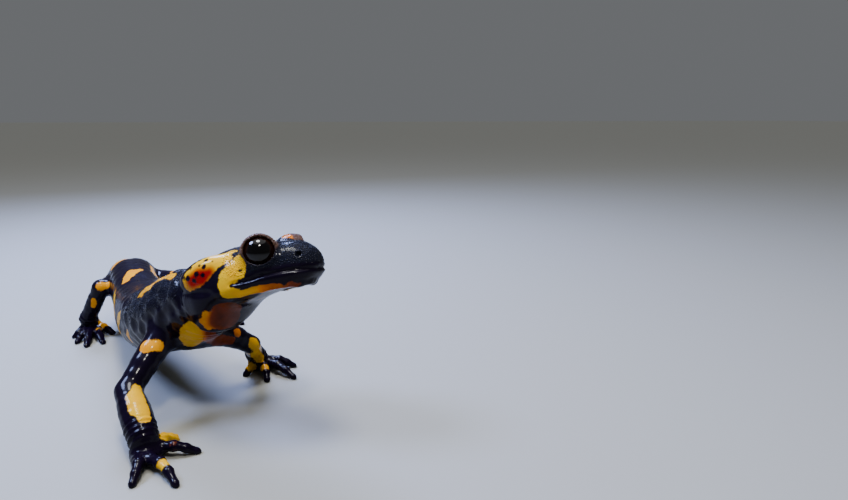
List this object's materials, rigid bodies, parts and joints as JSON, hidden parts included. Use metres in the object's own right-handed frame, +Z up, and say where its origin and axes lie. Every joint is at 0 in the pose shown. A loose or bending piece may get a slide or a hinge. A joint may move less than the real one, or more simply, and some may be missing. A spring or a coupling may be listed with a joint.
{
  "type": "fire salamander",
  "caption": "Still life-size model of a fire salamander standing with its head raised and turned aside, black with yellow and orange spots, its tail laid on the floor.",
  "frame": {"origin": "middle of the box around the animal, at floor level", "axes": "+X runs from the tail tip towards the front feet, +Z is up and +Y is the animal's left at the trunk"},
  "size_m": [0.1342, 0.0676, 0.0377],
  "materials": {
    "skin": "wet satin, black with yellow and orange spots",
    "eye": "high gloss, near black"
  },
  "bodies": {
    "root": {"head": "skin", "jaw": "skin", "eye_right": "eye", "eye_left": "eye", "neck": "skin", "chest": "skin", "trunk_front": "skin", "trunk_rear": "skin", "pelvis": "skin", "tail_base": "skin", "tail_middle": "skin", "tail_rear": "skin", "tail_tip": "skin", "upper_arm_right": "skin", "forearm_right": "skin", "hand_right": "skin", "upper_arm_left": "skin", "forearm_left": "skin", "hand_left": "skin", "thigh_right": "skin", "shank_right": "skin", "foot_right": "skin", "thigh_left": "skin", "shank_left": "skin", "foot_left": "skin"}
  },
  "joints": []
}
